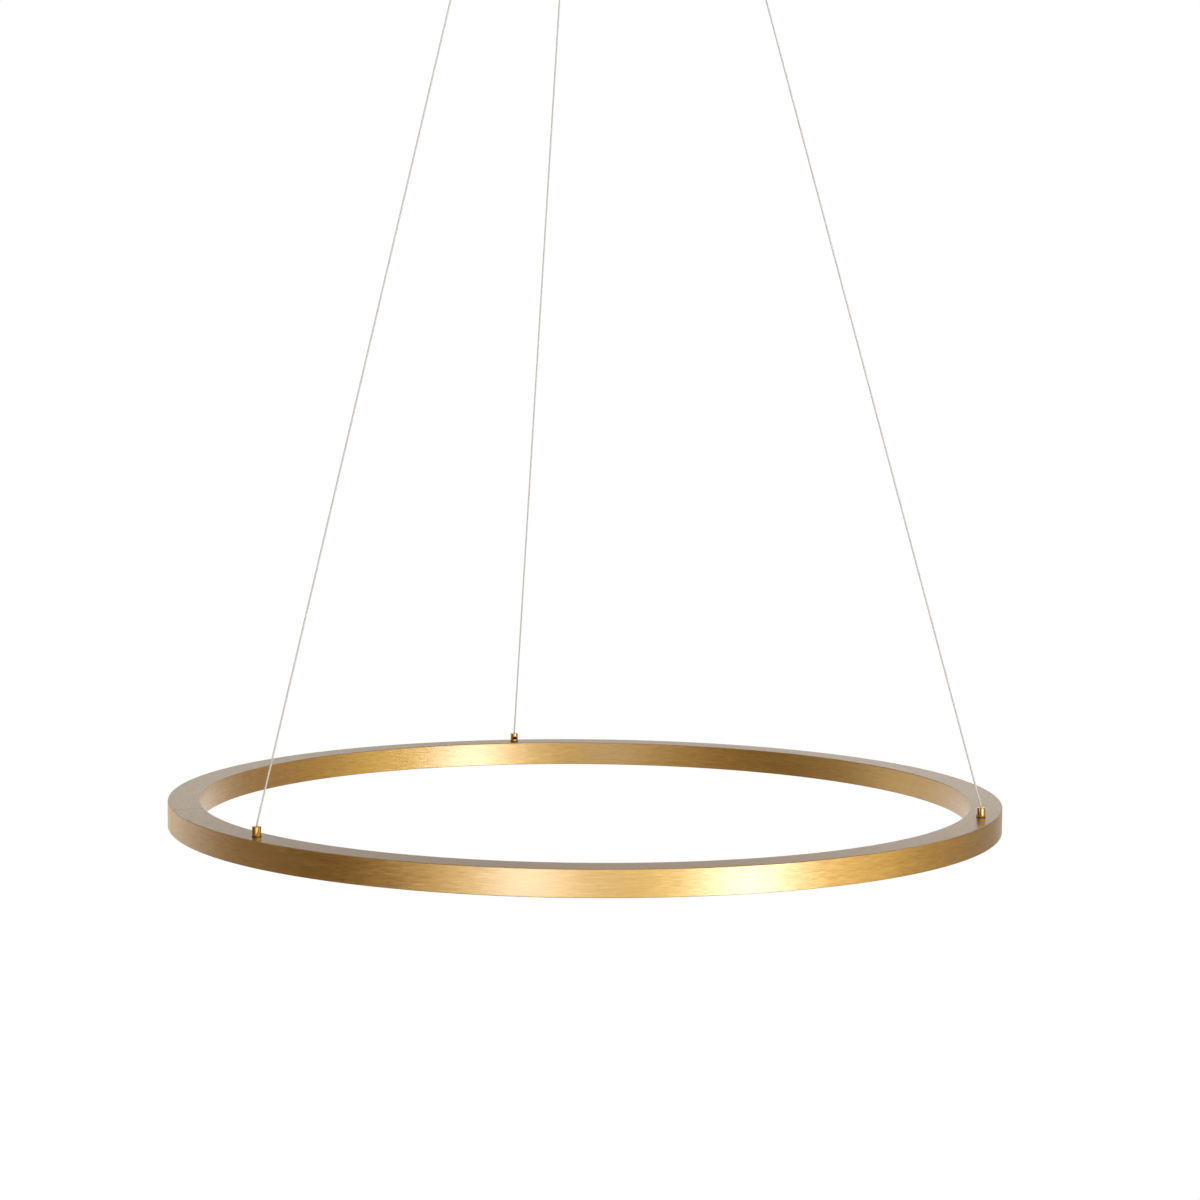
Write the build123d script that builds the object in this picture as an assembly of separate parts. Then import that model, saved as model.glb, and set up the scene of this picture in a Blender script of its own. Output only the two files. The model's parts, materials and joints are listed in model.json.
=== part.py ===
from build123d import *
from math import pi, radians, sqrt, tan
import os

# LED ring pendant light: a level ring, lit on its underside, that hangs on three thin wires from a round
# ceiling canopy. Millimetres. The origin is the centre of the ceiling plate's top face, against the ceiling,
# with +Z up. The back wire lies in the +Y half of the YZ plane, and the other two stand 120 degrees from it.

# Whole lamp
HANG_DEPTH = 1160.0             # ceiling to the ring's underside
WIRE_ANGLES = {"back": 90.0, "left": 210.0, "right": 330.0}
POWERED = ("left", "right")     # the two wires that carry the low-voltage supply
SLIP = 0.03                     # radial room of a screw in its hole
PLAY = 0.3                      # room between pieces that are dropped in

# Ring profile: a rolled channel, open below
RING_DIAMETER = 800.0
RING_WIDTH = 30.0
RING_HEIGHT = 24.0
RING_WALL = 2.0
RING_WEB = 2.0
RING_EDGE = 0.6                 # rounding of the four outer corners
RIB_DROP = 9.0                  # ring top to the inner ribs' upper face
RIB_PROUD = 1.5
RIB_THICKNESS = 1.2
SEAM_ANGLE = 185.0
SEAM_GAP = 0.3

# Splice behind the seam
SPLICE_LENGTH = 60.0
SPLICE_THICKNESS = 6.0
SPLICE_SCREW_DIAMETER = 4.0
SPLICE_SCREW_SPREAD = 8.0       # off the ring's middle circle, either way
SPLICE_SCREW_ANGLES = (-2.6, 2.6)

# LED tray, strip and diffuser
TRAY_THICKNESS = 1.2
STANDOFF_DIAMETER = 6.0
STANDOFF_OFFSET = 7.0           # outwards of the ring's middle circle
STANDOFF_ANGLES = [15.0 + 60.0 * step for step in range(6)]
TRAY_SCREW_DIAMETER = 2.5
TRAY_SCREW_HEAD = 5.0
TRAY_SCREW_HEAD_HEIGHT = 1.6
TRAY_SCREW_GRIP = 5.0           # thread length inside the standoff
STRIP_WIDTH = 8.0
STRIP_THICKNESS = 0.4
CHIP_COUNT = 96
CHIP_LENGTH = 3.5
CHIP_WIDTH = 2.8
CHIP_HEIGHT = 0.7
DIFFUSER_THICKNESS = 1.8
DIFFUSER_RECESS = 0.3
DIFFUSER_PLAY = 0.15
LEG_THICKNESS = 1.2
LEG_HEIGHT = 3.4
BEAD_PROUD = 0.45
BEAD_HEIGHT = 1.0
BEAD_DROP = 1.3                 # leg top to bead top
GROOVE_PLAY = 0.3

# Wire terminals on the ring
TERMINAL_DIAMETER = 8.0
TERMINAL_HEIGHT = 9.0           # above the ring's top face, washer included
TERMINAL_EDGE = 0.4
TERMINAL_BORE_DEPTH = 7.5
TOP_WASHER_DIAMETER = 8.6
TOP_WASHER_THICKNESS = 0.6
STUD_DIAMETER = 4.0
STUD_PROUD = 1.3                # past the nut
BUSH_BOSS_DIAMETER = 6.0
BUSH_FLANGE_DIAMETER = 9.0
BUSH_FLANGE_THICKNESS = 1.0
TAG_DIAMETER = 8.0
TAG_THICKNESS = 0.5
TAG_TAIL_LENGTH = 11.0
TAG_TAIL_WIDTH = 3.0
NUT_FLATS = 7.0
NUT_THICKNESS = 2.0
SET_SCREW_DIAMETER = 4.0
SET_SCREW_RISE = 4.2            # axis above the ring's top face
SET_SCREW_RECESS = 1.0
SET_SCREW_SOCKET = 2.0
SET_SCREW_SOCKET_DEPTH = 1.0
FERRULE_DIAMETER = 2.0
FERRULE_LENGTH = 5.0
FERRULE_PLAY = 0.2
RING_LEAD_DIAMETER = 1.4

# Wires
WIRE_DIAMETER = 1.6
WIRE_BORE = 2.4                 # every hole that a wire passes
WIRE_BEND_CLEAR = 1.0           # from a fitting's mouth to the corner of the wire's route
WIRE_ENTRY = 3.0                # wire inside the gripper's mouth

# Ceiling canopy
CANOPY_DIAMETER = 200.0
CANOPY_HEIGHT = 35.0
CANOPY_WALL = 1.2
CANOPY_EDGE = 4.0
CANOPY_RIM_GAP = 0.5            # canopy rim to the ceiling
PLATE_THICKNESS = 2.0
PLATE_CLEARANCE = 1.0
TAB_WIDTH = 14.0
TAB_DEPTH = 20.0                # from the plate's top face
TAB_ANGLES = [30.0, 150.0, 270.0]
SIDE_SCREW_DROP = 12.0
SIDE_SCREW_DIAMETER = 4.0
SIDE_SCREW_HEAD = 7.0
SIDE_SCREW_HEAD_HEIGHT = 2.4
SIDE_SCREW_LENGTH = 7.0
MOUNT_SPACING = 150.0
MOUNT_SLOT_LENGTH = 20.0
MOUNT_SLOT_WIDTH = 5.0
CABLE_HOLE_DIAMETER = 20.0
CABLE_HOLE_Y = -45.0

# Wire grippers under the canopy
GRIPPER_INSET = 25.0            # gripper axis to the canopy's side
GRIPPER_DIAMETER = 10.0
GRIPPER_LENGTH = 18.0           # below the canopy's floor
GRIPPER_EDGE = 0.6
STEM_DIAMETER = 8.0
STEM_LENGTH = 10.0              # above the canopy's lower face
STEM_NUT_FLATS = 12.0
STEM_NUT_THICKNESS = 4.0
CAP_LENGTH = 12.0
CAP_LIP = 2.0
CAP_SPIGOT_DIAMETER = 8.0       # part of the body that the cap screws on
CAP_SPIGOT_LENGTH = 4.0
PLUNGER_NECK_DIAMETER = 5.6
PLUNGER_SHOULDER_DIAMETER = 7.0
PLUNGER_SHOULDER_HEIGHT = 1.6
PLUNGER_HEAD_DIAMETER = 7.0
PLUNGER_HEAD_HEIGHT = 3.0
PLUNGER_TRAVEL = 2.0
PLUNGER_PLAY = 0.06
BACK_TAIL = 6.0                 # wire left over above the unpowered gripper

# Driver, terminal block and leads on the ceiling plate
DRIVER_LENGTH = 110.0
DRIVER_WIDTH = 42.0
DRIVER_HEIGHT = 22.0
DRIVER_EDGE = 2.0
DRIVER_Y = 29.0
FOOT_LENGTH = 7.0
FOOT_WIDTH = 12.0
FOOT_THICKNESS = 2.0
BLOCK_LENGTH = 30.0
BLOCK_WIDTH = 16.0
BLOCK_HEIGHT = 14.0
BLOCK_Y = -8.0
POLE_PITCH = 9.0
POLE_HOLE = 4.0
POLE_HOLE_DEPTH = 6.0
PLATE_SCREW_DIAMETER = 3.0
PLATE_SCREW_HEAD = 5.6
PLATE_SCREW_HEAD_HEIGHT = 2.0
EARTH_X = 42.0
EARTH_SCREW_DIAMETER = 4.0
EARTH_SCREW_HEAD = 8.0
EARTH_SCREW_HEAD_HEIGHT = 2.6
EARTH_TAG_DIAMETER = 9.0
EARTH_TAG_THICKNESS = 0.8
LEAD_DIAMETER = 1.8
LEAD_DROP = 13.0                # ceiling to the leads' level runs
LEAD_DRIVER_X = 45.0

# Heights and radii that follow
RING_TOP = RING_HEIGHT - HANG_DEPTH
RING_OUTER = RING_DIAMETER / 2
RING_INNER = RING_OUTER - RING_WIDTH
RING_MIDDLE = (RING_OUTER + RING_INNER) / 2
CHANNEL_INNER = RING_INNER + RING_WALL
CHANNEL_OUTER = RING_OUTER - RING_WALL
TRAY_TOP = -RIB_DROP - RIB_THICKNESS
TRAY_BOTTOM = TRAY_TOP - TRAY_THICKNESS
BUSH_BOTTOM = -RING_WEB - BUSH_FLANGE_THICKNESS
TAG_BOTTOM = BUSH_BOTTOM - TAG_THICKNESS
NUT_BOTTOM = TAG_BOTTOM - NUT_THICKNESS
FERRULE_BOTTOM = TERMINAL_HEIGHT - TERMINAL_BORE_DEPTH + FERRULE_PLAY
FERRULE_TOP = FERRULE_BOTTOM + FERRULE_LENGTH
CANOPY_RADIUS = CANOPY_DIAMETER / 2
GRIPPER_CIRCLE_RADIUS = CANOPY_RADIUS - GRIPPER_INSET
CANOPY_FLOOR = CANOPY_WALL - CANOPY_HEIGHT
PLATE_RADIUS = CANOPY_RADIUS - CANOPY_WALL - PLATE_CLEARANCE
TAB_FACE = sqrt(PLATE_RADIUS**2 - (TAB_WIDTH / 2) ** 2)
MOUTH_DROP = GRIPPER_LENGTH + PLUNGER_TRAVEL + PLUNGER_HEAD_HEIGHT
MOUTH = -CANOPY_HEIGHT - MOUTH_DROP
STEM_TOP = STEM_LENGTH - CANOPY_HEIGHT
CAP_BORE = PLUNGER_SHOULDER_DIAMETER + 2 * PLUNGER_PLAY
ON_BASE = (Align.CENTER, Align.CENTER, Align.MIN)


def disc(diameter, low, high):
    """Upright cylinder from one height to another."""
    return Pos(0, 0, low) * Cylinder(diameter / 2, high - low, align=ON_BASE)


def ring_disc(diameter, bore, low, high):
    """Upright cylinder with a through bore."""
    return disc(diameter, low, high) - disc(bore, low, high)


def rod(diameter, start, end):
    """Cylinder along X from one place to another."""
    return Pos(start, 0, 0) * Rot(0, 90, 0) * Cylinder(diameter / 2, end - start, align=ON_BASE)


def hexagon(flats, low, high):
    """Upright hexagonal bar."""
    return Pos(0, 0, low) * extrude(RegularPolygon(flats / 2, 6, major_radius=False), high - low)


def band(inner, outer, low, high):
    """Rectangle in the XZ plane, for turning about Z."""
    middle = Pos((inner + outer) / 2, (low + high) / 2)
    return Plane.XZ * middle * Rectangle(outer - inner, high - low)


def turned(section):
    """Solid of revolution about Z."""
    return revolve(section, Axis.Z, 360)


def polar(angle, radius, shape):
    """Place a shape, made with +X outwards, on a circle about Z."""
    return Rot(0, 0, angle) * Pos(radius, 0, 0) * shape


def on_ring(shape):
    """Lower a shape, made from the ring's top face, to its place."""
    return Pos(0, 0, RING_TOP) * shape


def under_canopy(shape):
    """Lower a shape, made from the canopy's lower face, to its place."""
    return Pos(0, 0, -CANOPY_HEIGHT) * shape


def corner_radii(points):
    """Largest arcs that a route's runs allow: 0.45 of the shorter run at each corner."""
    radii = []
    for before, corner, after in zip(points, points[1:], points[2:]):
        arriving = Vector(*corner) - Vector(*before)
        leaving = Vector(*after) - Vector(*corner)
        half_turn = radians(arriving.get_angle(leaving)) / 2
        radii.append(0.45 * min(arriving.length, leaving.length) / tan(half_turn))
    return radii


def tube(points, diameter, label):
    """Round tube along straight runs joined by tangent arcs."""
    radii = corner_radii(points)
    path = FilletPolyline(*points, radius=radii)
    section = Plane(origin=path @ 0, z_dir=path % 0) * Circle(diameter / 2)
    solid = sweep(section, path=path)
    share = solid.volume / (pi * diameter**2 / 4 * path.length)
    rounded = [round(radius, 1) for radius in radii]
    print(f"{label}: length {path.length:.1f}, radii {rounded}, volume share {share:.4f}")
    return solid


# Ceiling canopy


def ceiling_plate():
    plate = disc(PLATE_RADIUS * 2, -PLATE_THICKNESS, 0)
    for side in (-1, 1):
        slot = extrude(SlotOverall(MOUNT_SLOT_LENGTH, MOUNT_SLOT_WIDTH), -PLATE_THICKNESS)
        plate -= Pos(side * MOUNT_SPACING / 2, 0) * slot
    plate -= Pos(0, CABLE_HOLE_Y) * disc(CABLE_HOLE_DIAMETER, -PLATE_THICKNESS, 0)
    for x, y in plate_screw_places():
        plate -= Pos(x, y) * disc(PLATE_SCREW_DIAMETER, -PLATE_THICKNESS, 0)
    plate -= Pos(EARTH_X, BLOCK_Y) * disc(EARTH_SCREW_DIAMETER, -PLATE_THICKNESS, 0)
    return plate


def plate_tab():
    """Upright tab under the plate's rim, tapped for a side screw."""
    height = TAB_DEPTH - PLATE_THICKNESS
    tab = Box(PLATE_THICKNESS, TAB_WIDTH, height, align=(Align.MAX, Align.CENTER, Align.MAX))
    hole = Pos(0, 0, -SIDE_SCREW_DROP) * rod(SIDE_SCREW_DIAMETER, -PLATE_THICKNESS * 2, PLATE_THICKNESS)
    return Pos(0, 0, -PLATE_THICKNESS) * tab - hole


def canopy_cup():
    floor = band(0, CANOPY_RADIUS, -CANOPY_HEIGHT, CANOPY_FLOOR)
    wall = band(CANOPY_RADIUS - CANOPY_WALL, CANOPY_RADIUS, -CANOPY_HEIGHT, -CANOPY_RIM_GAP)
    section = floor + wall
    outer_corner = section.vertices().sort_by(Axis.Z)[:2].sort_by(Axis.X)[-1]
    section = fillet(outer_corner, CANOPY_EDGE)
    inner_face = CANOPY_RADIUS - CANOPY_WALL
    inner_corner = section.vertices().sort_by_distance((inner_face, 0, CANOPY_FLOOR))[0]
    section = fillet(inner_corner, CANOPY_EDGE - CANOPY_WALL)
    cup = turned(section)
    for angle in WIRE_ANGLES.values():
        hole = disc(STEM_DIAMETER + 2 * SLIP, -CANOPY_HEIGHT, CANOPY_FLOOR)
        cup -= polar(angle, GRIPPER_CIRCLE_RADIUS, hole)
    for angle in TAB_ANGLES:
        hole = rod(SIDE_SCREW_DIAMETER + 2 * SLIP, -CANOPY_WALL * 2, CANOPY_WALL)
        cup -= polar(angle, CANOPY_RADIUS, Pos(0, 0, -SIDE_SCREW_DROP) * hole)
    return cup


def canopy_side_screw():
    head = rod(SIDE_SCREW_HEAD, 0, SIDE_SCREW_HEAD_HEIGHT)
    head = fillet(head.edges().sort_by(Axis.X)[-1], SIDE_SCREW_HEAD_HEIGHT / 3)
    shank = rod(SIDE_SCREW_DIAMETER - 2 * SLIP, -SIDE_SCREW_LENGTH, 0)
    return Pos(0, 0, -SIDE_SCREW_DROP) * (head + shank)


# Wire grippers, each made about its own axis from the canopy's lower face


def gripper_body():
    stem = disc(STEM_DIAMETER, 0, STEM_LENGTH)
    barrel = disc(GRIPPER_DIAMETER, CAP_LENGTH - GRIPPER_LENGTH, 0)
    spigot_low = CAP_LENGTH - CAP_SPIGOT_LENGTH - GRIPPER_LENGTH
    spigot = disc(CAP_SPIGOT_DIAMETER, spigot_low, CAP_LENGTH - GRIPPER_LENGTH)
    body = stem + barrel + spigot
    return body - disc(WIRE_BORE, spigot_low, STEM_LENGTH)


def gripper_cap():
    shell = disc(GRIPPER_DIAMETER, -GRIPPER_LENGTH, CAP_LENGTH - GRIPPER_LENGTH)
    shell = chamfer(shell.edges().sort_by(Axis.Z)[0], GRIPPER_EDGE)
    spigot_low = CAP_LENGTH - CAP_SPIGOT_LENGTH - GRIPPER_LENGTH
    shell -= disc(CAP_SPIGOT_DIAMETER + 2 * SLIP, spigot_low, CAP_LENGTH - GRIPPER_LENGTH)
    shell -= disc(CAP_BORE, CAP_LIP - GRIPPER_LENGTH, spigot_low)
    return shell - disc(PLUNGER_NECK_DIAMETER + 2 * PLUNGER_PLAY, -GRIPPER_LENGTH, CAP_LIP - GRIPPER_LENGTH)


def gripper_plunger():
    head_top = PLUNGER_HEAD_HEIGHT - MOUTH_DROP
    seat = CAP_LIP - GRIPPER_LENGTH
    head = disc(PLUNGER_HEAD_DIAMETER, -MOUTH_DROP, head_top)
    head = fillet(head.edges().filter_by(GeomType.CIRCLE), GRIPPER_EDGE)
    neck = disc(PLUNGER_NECK_DIAMETER, head_top, seat)
    shoulder = disc(PLUNGER_SHOULDER_DIAMETER, seat, seat + PLUNGER_SHOULDER_HEIGHT)
    plunger = head + neck + shoulder
    return plunger - disc(WIRE_BORE, -MOUTH_DROP, seat + PLUNGER_SHOULDER_HEIGHT)


def gripper_nut():
    low = CANOPY_WALL
    high = low + STEM_NUT_THICKNESS
    return hexagon(STEM_NUT_FLATS, low, high) - disc(STEM_DIAMETER + 2 * SLIP, low, high)


# Driver, terminal block and leads on the ceiling plate


def foot_places(length, y):
    """Screw places in the feet at both ends of a case that is fixed to the ceiling plate."""
    reach = (length + FOOT_LENGTH) / 2
    return [(-reach, y), (reach, y)]


def plate_screw_places():
    return foot_places(DRIVER_LENGTH, DRIVER_Y) + foot_places(BLOCK_LENGTH, BLOCK_Y)


def footed_case(length, width, height, edge):
    """Case against the plate's underside, with a screwed foot at each end."""
    case = Box(length, width, height, align=(Align.CENTER, Align.CENTER, Align.MAX))
    case = fillet(case.edges().filter_by(Axis.Z), edge)
    feet = Box(length + 2 * FOOT_LENGTH, FOOT_WIDTH, FOOT_THICKNESS, align=(Align.CENTER, Align.CENTER, Align.MAX))
    case += feet
    for x, y in foot_places(length, 0):
        case -= Pos(x, y) * disc(PLATE_SCREW_DIAMETER + 2 * SLIP, -FOOT_THICKNESS, 0)
    return Pos(0, 0, -PLATE_THICKNESS) * case


def led_driver():
    case = footed_case(DRIVER_LENGTH, DRIVER_WIDTH, DRIVER_HEIGHT, DRIVER_EDGE)
    case = fillet(case.faces().sort_by(Axis.Z)[0].edges(), DRIVER_EDGE / 2)
    return Pos(0, DRIVER_Y) * case


def terminal_block():
    block = footed_case(BLOCK_LENGTH, BLOCK_WIDTH, BLOCK_HEIGHT, DRIVER_EDGE / 2)
    low = -PLATE_THICKNESS - BLOCK_HEIGHT
    for pole in (-1, 0, 1):
        well = disc(POLE_HOLE, low, low + POLE_HOLE_DEPTH)
        entry = Rot(90, 0, 0) * disc(POLE_HOLE, 0, POLE_HOLE_DEPTH)
        block -= Pos(pole * POLE_PITCH, 0) * well
        block -= Pos(pole * POLE_PITCH, POLE_HOLE_DEPTH - BLOCK_WIDTH / 2, low + BLOCK_HEIGHT / 2) * entry
    return Pos(0, BLOCK_Y) * block


def plate_screw():
    top = -PLATE_THICKNESS - FOOT_THICKNESS
    head = disc(PLATE_SCREW_HEAD, top - PLATE_SCREW_HEAD_HEIGHT, top)
    head = fillet(head.edges().sort_by(Axis.Z)[0], PLATE_SCREW_HEAD_HEIGHT / 3)
    return head + disc(PLATE_SCREW_DIAMETER - 2 * SLIP, top, -SLIP)


def earth_screw():
    top = -PLATE_THICKNESS - EARTH_TAG_THICKNESS
    head = disc(EARTH_SCREW_HEAD, top - EARTH_SCREW_HEAD_HEIGHT, top)
    head = fillet(head.edges().sort_by(Axis.Z)[0], EARTH_SCREW_HEAD_HEIGHT / 3)
    return Pos(EARTH_X, BLOCK_Y) * (head + disc(EARTH_SCREW_DIAMETER - 2 * SLIP, top, -SLIP))


def earth_lead():
    """Lead from the block's end to a ring tag under the earth screw's head."""
    tag_low = -PLATE_THICKNESS - EARTH_TAG_THICKNESS
    tag = ring_disc(EARTH_TAG_DIAMETER, EARTH_SCREW_DIAMETER + 2 * SLIP, tag_low, -PLATE_THICKNESS)
    start = BLOCK_LENGTH / 2
    finish = EARTH_X - EARTH_SCREW_HEAD / 2 - PLAY
    third = (finish - start) / 3
    level = -PLATE_THICKNESS - PLAY - LEAD_DIAMETER / 2
    block_level = -PLATE_THICKNESS - BLOCK_HEIGHT / 2
    points = [
        (start, BLOCK_Y, block_level),
        (start + third, BLOCK_Y, block_level),
        (finish - third, BLOCK_Y, level),
        (finish, BLOCK_Y, level),
    ]
    return Pos(EARTH_X, BLOCK_Y) * tag + tube(points, LEAD_DIAMETER, "earth_lead")


def input_leads():
    """Two short leads across the gap from the terminal block to the driver."""
    start = BLOCK_Y + BLOCK_WIDTH / 2
    finish = DRIVER_Y - DRIVER_WIDTH / 2
    level = -PLATE_THICKNESS - BLOCK_HEIGHT / 2
    lead = Rot(-90, 0, 0) * disc(LEAD_DIAMETER, 0, finish - start)
    return [Pos(side * POLE_PITCH, start, level) * lead for side in (-1, 1)]


def supply_lead(name):
    """Lead from the top of a powered gripper to the driver."""
    foot = polar(WIRE_ANGLES[name], GRIPPER_CIRCLE_RADIUS, Pos(0, 0, 0)).position
    side = 1 if foot.X > 0 else -1
    face = DRIVER_Y - DRIVER_WIDTH / 2
    approach = (STEM_TOP + LEAD_DROP) * 1.5
    points = [
        (foot.X, foot.Y, STEM_TOP),
        (foot.X, foot.Y, -LEAD_DROP),
        (side * LEAD_DRIVER_X, face + approach, -LEAD_DROP),
        (side * LEAD_DRIVER_X, face, -LEAD_DROP),
    ]
    return tube(points, LEAD_DIAMETER, f"supply_lead_{name}")


# Wires


def wire_route(name):
    """Straight run between two fittings, with a short upright end inside each."""
    angle = WIRE_ANGLES[name]
    upper = polar(angle, GRIPPER_CIRCLE_RADIUS, Pos(0, 0, 0)).position
    lower = polar(angle, RING_MIDDLE, Pos(0, 0, 0)).position
    return [
        (upper.X, upper.Y, MOUTH + WIRE_ENTRY),
        (upper.X, upper.Y, MOUTH - WIRE_BEND_CLEAR),
        (lower.X, lower.Y, RING_TOP + TERMINAL_HEIGHT + WIRE_BEND_CLEAR),
        (lower.X, lower.Y, RING_TOP + FERRULE_TOP),
    ]


def wire_tail(name):
    """Wire inside the gripper, above its mouth."""
    extra = 0 if name in POWERED else BACK_TAIL
    return disc(WIRE_DIAMETER, MOUTH + WIRE_ENTRY, STEM_TOP + extra)


def wire_ferrule():
    return disc(FERRULE_DIAMETER, FERRULE_BOTTOM, FERRULE_TOP)


# Wire terminals, each made about its own axis from the ring's top face, with +X outwards


def ring_terminal():
    post = disc(TERMINAL_DIAMETER, TOP_WASHER_THICKNESS, TERMINAL_HEIGHT)
    post = chamfer(post.edges().sort_by(Axis.Z)[-1], TERMINAL_EDGE)
    post += disc(STUD_DIAMETER, NUT_BOTTOM - STUD_PROUD, TOP_WASHER_THICKNESS)
    post -= disc(WIRE_BORE, TERMINAL_HEIGHT - TERMINAL_BORE_DEPTH, TERMINAL_HEIGHT)
    return post - Pos(0, 0, SET_SCREW_RISE) * rod(SET_SCREW_DIAMETER, -TERMINAL_DIAMETER, 0)


def set_screw():
    outer_end = SET_SCREW_RECESS - TERMINAL_DIAMETER / 2
    tip = -FERRULE_DIAMETER / 2 - FERRULE_PLAY
    screw = rod(SET_SCREW_DIAMETER - 2 * SLIP, outer_end, tip)
    socket = Pos(outer_end, 0, 0) * Rot(0, 90, 0) * hexagon(SET_SCREW_SOCKET, 0, SET_SCREW_SOCKET_DEPTH)
    return Pos(0, 0, SET_SCREW_RISE) * (screw - socket)


def terminal_washer():
    return ring_disc(TOP_WASHER_DIAMETER, STUD_DIAMETER + 2 * SLIP, 0, TOP_WASHER_THICKNESS)


def terminal_bush():
    flange = disc(BUSH_FLANGE_DIAMETER, BUSH_BOTTOM, -RING_WEB)
    boss = disc(BUSH_BOSS_DIAMETER, -RING_WEB, 0)
    return flange + boss - disc(STUD_DIAMETER + 2 * SLIP, BUSH_BOTTOM, 0)


def terminal_tag():
    """Solder tag under the bush, with its tail along the ring."""
    tag = disc(TAG_DIAMETER, TAG_BOTTOM, BUSH_BOTTOM)
    tail = Box(TAG_TAIL_WIDTH, TAG_TAIL_LENGTH, TAG_THICKNESS, align=(Align.CENTER, Align.MIN, Align.MIN))
    tag += Pos(0, 0, TAG_BOTTOM) * tail
    return tag - disc(STUD_DIAMETER + 2 * SLIP, TAG_BOTTOM, BUSH_BOTTOM)


def terminal_nut():
    return hexagon(NUT_FLATS, NUT_BOTTOM, TAG_BOTTOM) - disc(STUD_DIAMETER + 2 * SLIP, NUT_BOTTOM, TAG_BOTTOM)


def lead_place():
    """Where a ring lead stands, from its terminal's axis."""
    return Pos(0, TAG_TAIL_LENGTH - TAG_TAIL_WIDTH / 2)


def ring_lead():
    """Lead from the tag's tail, through the tray, to the back of the LED strip."""
    return lead_place() * disc(RING_LEAD_DIAMETER, TRAY_BOTTOM, TAG_BOTTOM)


# Ring, made from its top face


def ring_profile():
    section = band(RING_INNER, RING_OUTER, -RING_HEIGHT, 0)
    section -= band(CHANNEL_INNER, CHANNEL_OUTER, -RING_HEIGHT, -RING_WEB)
    section += band(CHANNEL_INNER, CHANNEL_INNER + RIB_PROUD, TRAY_TOP, -RIB_DROP)
    section += band(CHANNEL_OUTER - RIB_PROUD, CHANNEL_OUTER, TRAY_TOP, -RIB_DROP)
    groove_depth = DIFFUSER_PLAY + BEAD_PROUD
    groove_top = bead_top() + GROOVE_PLAY
    groove_low = bead_top() - BEAD_HEIGHT - GROOVE_PLAY
    section -= band(CHANNEL_INNER - groove_depth, CHANNEL_INNER, groove_low, groove_top)
    section -= band(CHANNEL_OUTER, CHANNEL_OUTER + groove_depth, groove_low, groove_top)
    faces_out = RING_WIDTH / 2 - RING_EDGE / 2
    corners = section.vertices().filter_by(lambda vertex: abs(vertex.X - RING_MIDDLE) > faces_out)
    ring = turned(fillet(corners, RING_EDGE))
    for angle in WIRE_ANGLES.values():
        ring -= polar(angle, RING_MIDDLE, disc(BUSH_BOSS_DIAMETER + 2 * SLIP, -RING_WEB, 0))
    slit = Box(RING_WIDTH * 2, SEAM_GAP, RING_HEIGHT * 3)
    return ring - polar(SEAM_ANGLE, RING_MIDDLE, slit)


def seam_splice():
    """Curved joiner that lies on the ribs behind the seam and is jacked against the web."""
    section = band(CHANNEL_INNER + PLAY, CHANNEL_OUTER - PLAY, -RIB_DROP, SPLICE_THICKNESS - RIB_DROP)
    span = SPLICE_LENGTH / RING_MIDDLE * 180 / pi
    splice = Rot(0, 0, SEAM_ANGLE - span / 2) * revolve(section, Axis.Z, span)
    for angle, radius in splice_screw_places():
        splice -= polar(angle, radius, disc(SPLICE_SCREW_DIAMETER, -RIB_DROP, -RING_WEB))
    return splice


def splice_screw_places():
    spreads = (-SPLICE_SCREW_SPREAD, SPLICE_SCREW_SPREAD)
    return [(SEAM_ANGLE + turn, RING_MIDDLE + spread) for turn in SPLICE_SCREW_ANGLES for spread in spreads]


def splice_screw():
    return disc(SPLICE_SCREW_DIAMETER - 2 * SLIP, -RIB_DROP, -RING_WEB)


def led_tray():
    tray = turned(band(CHANNEL_INNER + PLAY, CHANNEL_OUTER - PLAY, TRAY_BOTTOM, TRAY_TOP))
    for angle in STANDOFF_ANGLES:
        hole = disc(TRAY_SCREW_DIAMETER + 2 * SLIP, TRAY_BOTTOM, TRAY_TOP)
        tray -= polar(angle, RING_MIDDLE + STANDOFF_OFFSET, hole)
    for name in POWERED:
        hole = lead_place() * disc(RING_LEAD_DIAMETER + 2 * PLAY, TRAY_BOTTOM, TRAY_TOP)
        tray -= polar(WIRE_ANGLES[name], RING_MIDDLE, hole)
    return tray


def tray_standoff():
    return ring_disc(STANDOFF_DIAMETER, TRAY_SCREW_DIAMETER, TRAY_TOP, -RING_WEB)


def tray_screw():
    head = disc(TRAY_SCREW_HEAD, TRAY_BOTTOM - TRAY_SCREW_HEAD_HEIGHT, TRAY_BOTTOM)
    head = fillet(head.edges().sort_by(Axis.Z)[0], TRAY_SCREW_HEAD_HEIGHT / 3)
    return head + disc(TRAY_SCREW_DIAMETER - 2 * SLIP, TRAY_BOTTOM, TRAY_TOP + TRAY_SCREW_GRIP)


def led_strip():
    half = STRIP_WIDTH / 2
    return turned(band(RING_MIDDLE - half, RING_MIDDLE + half, TRAY_BOTTOM - STRIP_THICKNESS, TRAY_BOTTOM))


def led_chip():
    top = TRAY_BOTTOM - STRIP_THICKNESS
    return Pos(0, 0, top) * Box(CHIP_WIDTH, CHIP_LENGTH, CHIP_HEIGHT, align=(Align.CENTER, Align.CENTER, Align.MAX))


def leg_top():
    return DIFFUSER_RECESS + DIFFUSER_THICKNESS + LEG_HEIGHT - RING_HEIGHT


def bead_top():
    return leg_top() - BEAD_DROP


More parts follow.
